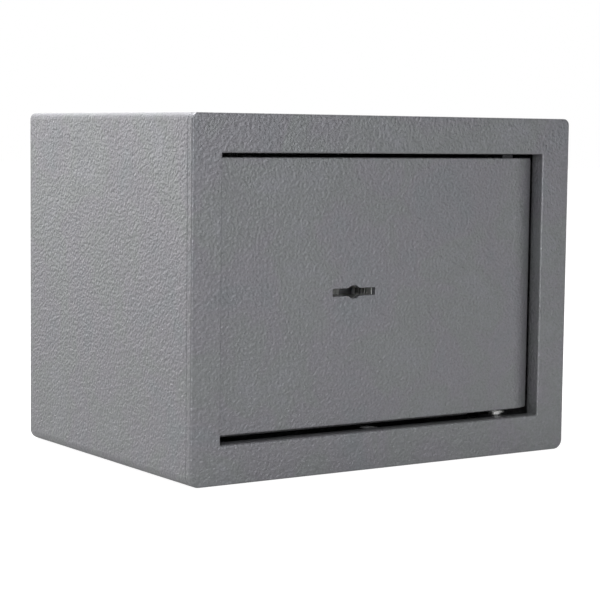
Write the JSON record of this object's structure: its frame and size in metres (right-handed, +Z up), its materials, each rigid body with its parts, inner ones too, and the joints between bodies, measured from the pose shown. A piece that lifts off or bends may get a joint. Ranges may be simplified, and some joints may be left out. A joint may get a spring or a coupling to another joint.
{
  "type": "key lock safe",
  "caption": "Compact steel safe: rounded box body, recessed front door hinged on the right, double-bit keyhole, sliding round locking bolts behind an inner cover.",
  "frame": {"origin": "centre of the body's bounding box in plan, at the underside of the body", "axes": "+X to the right seen from the front (towards the hinges), -Y out of the door's face, +Z up"},
  "size_m": [0.23, 0.17, 0.175],
  "materials": {
    "grey_powder_coat": "textured graphite powder coat, satin",
    "bright_steel": "bright zinc plated, satin",
    "zinc_sheet": "zinc plated sheet, dull",
    "lock_steel": "oiled stamped steel, dull"
  },
  "bodies": {
    "safe_body": {"body_wrapper": "grey_powder_coat", "back_panel": "grey_powder_coat", "front_frame": "grey_powder_coat", "door_stop": "grey_powder_coat", "hinge_bracket_lower": "grey_powder_coat", "hinge_bracket_upper": "grey_powder_coat", "hinge_pin_lower": "bright_steel", "hinge_pin_upper": "bright_steel", "hinge_washers_lower": "bright_steel"},
    "door": {"door_panel": "grey_powder_coat", "door_bottom_rail": "grey_powder_coat", "door_top_rail": "grey_powder_coat", "door_lock_rail": "grey_powder_coat", "hinge_lug_lower": "grey_powder_coat", "hinge_lug_upper": "grey_powder_coat", "lock_case": "zinc_sheet", "lock_cover": "zinc_sheet", "lock_studs": "bright_steel", "lock_nuts": "bright_steel", "lever_post": "bright_steel", "bar_guide_pins": "bright_steel", "bar_guide_nuts": "bright_steel", "cover_standoffs": "bright_steel", "inner_cover": "grey_powder_coat", "inner_cover_screws": "bright_steel"},
    "boltwork": {"bolt_bar": "zinc_sheet", "locking_bolt_upper": "bright_steel", "locking_bolt_lower": "bright_steel", "locking_bolt_screws": "bright_steel", "lock_bolt": "lock_steel", "bolt_stump": "bright_steel", "bolt_link_screw": "bright_steel"},
    "key_barrel_body": {"key_barrel": "bright_steel", "drive_stud": "bright_steel"},
    "lever_1_body": {"lever_1": "lock_steel", "lever_spring_1": "bright_steel"},
    "lever_2_body": {"lever_2": "lock_steel", "lever_spring_2": "bright_steel"},
    "lever_3_body": {"lever_3": "lock_steel", "lever_spring_3": "bright_steel"},
    "lever_4_body": {"lever_4": "lock_steel", "lever_spring_4": "bright_steel"},
    "lever_5_body": {"lever_5": "lock_steel", "lever_spring_5": "bright_steel"},
    "lever_6_body": {"lever_6": "lock_steel", "lever_spring_6": "bright_steel"}
  },
  "joints": [
    {"name": "door_hinge", "type": "hinge", "parent": "safe_body", "child": "door", "pos_m": [0.0803, -0.0704, 0.0878], "axis": [0, 0, 1], "range_deg": [0, 100]},
    {"name": "key_barrel_turn", "type": "hinge", "parent": "door", "child": "key_barrel_body", "pos_m": [-0.0197, -0.0755, 0.0885], "axis": [0, -1, 0], "range_deg": [0, 180]},
    {"name": "boltwork_slide", "type": "slide", "parent": "door", "child": "boltwork", "axis": [-1, 0, 0], "range_m": [0, 0.012]},
    {"name": "lever_1_pivot", "type": "hinge", "parent": "door", "child": "lever_1_body", "pos_m": [0.001, -0.072, 0.0885], "axis": [0, 1, 0], "range_deg": [0, 2.5], "stiffness_Nm_per_rad": 0.05, "springref_deg": -5.73},
    {"name": "lever_2_pivot", "type": "hinge", "parent": "door", "child": "lever_2_body", "pos_m": [0.001, -0.0705, 0.0885], "axis": [0, 1, 0], "range_deg": [0, 2.5], "stiffness_Nm_per_rad": 0.05, "springref_deg": -5.73},
    {"name": "lever_3_pivot", "type": "hinge", "parent": "door", "child": "lever_3_body", "pos_m": [0.001, -0.069, 0.0885], "axis": [0, 1, 0], "range_deg": [0, 2.5], "stiffness_Nm_per_rad": 0.05, "springref_deg": -5.73},
    {"name": "lever_4_pivot", "type": "hinge", "parent": "door", "child": "lever_4_body", "pos_m": [0.001, -0.0675, 0.0885], "axis": [0, 1, 0], "range_deg": [0, 2.5], "stiffness_Nm_per_rad": 0.05, "springref_deg": -5.73},
    {"name": "lever_5_pivot", "type": "hinge", "parent": "door", "child": "lever_5_body", "pos_m": [0.001, -0.066, 0.0885], "axis": [0, 1, 0], "range_deg": [0, 2.5], "stiffness_Nm_per_rad": 0.05, "springref_deg": -5.73},
    {"name": "lever_6_pivot", "type": "hinge", "parent": "door", "child": "lever_6_body", "pos_m": [0.001, -0.0645, 0.0885], "axis": [0, 1, 0], "range_deg": [0, 2.5], "stiffness_Nm_per_rad": 0.05, "springref_deg": -5.73}
  ],
  "couplings": [
    {"joint": "key_barrel_turn", "follows": "boltwork_slide", "rad_per_m": 261.79},
    {"joint": "lever_2_pivot", "follows": "lever_1_pivot", "ratio": 0.8},
    {"joint": "lever_3_pivot", "follows": "lever_1_pivot", "ratio": 0.95},
    {"joint": "lever_4_pivot", "follows": "lever_1_pivot", "ratio": 0.7},
    {"joint": "lever_5_pivot", "follows": "lever_1_pivot", "ratio": 1},
    {"joint": "lever_6_pivot", "follows": "lever_1_pivot", "ratio": 0.6}
  ]
}
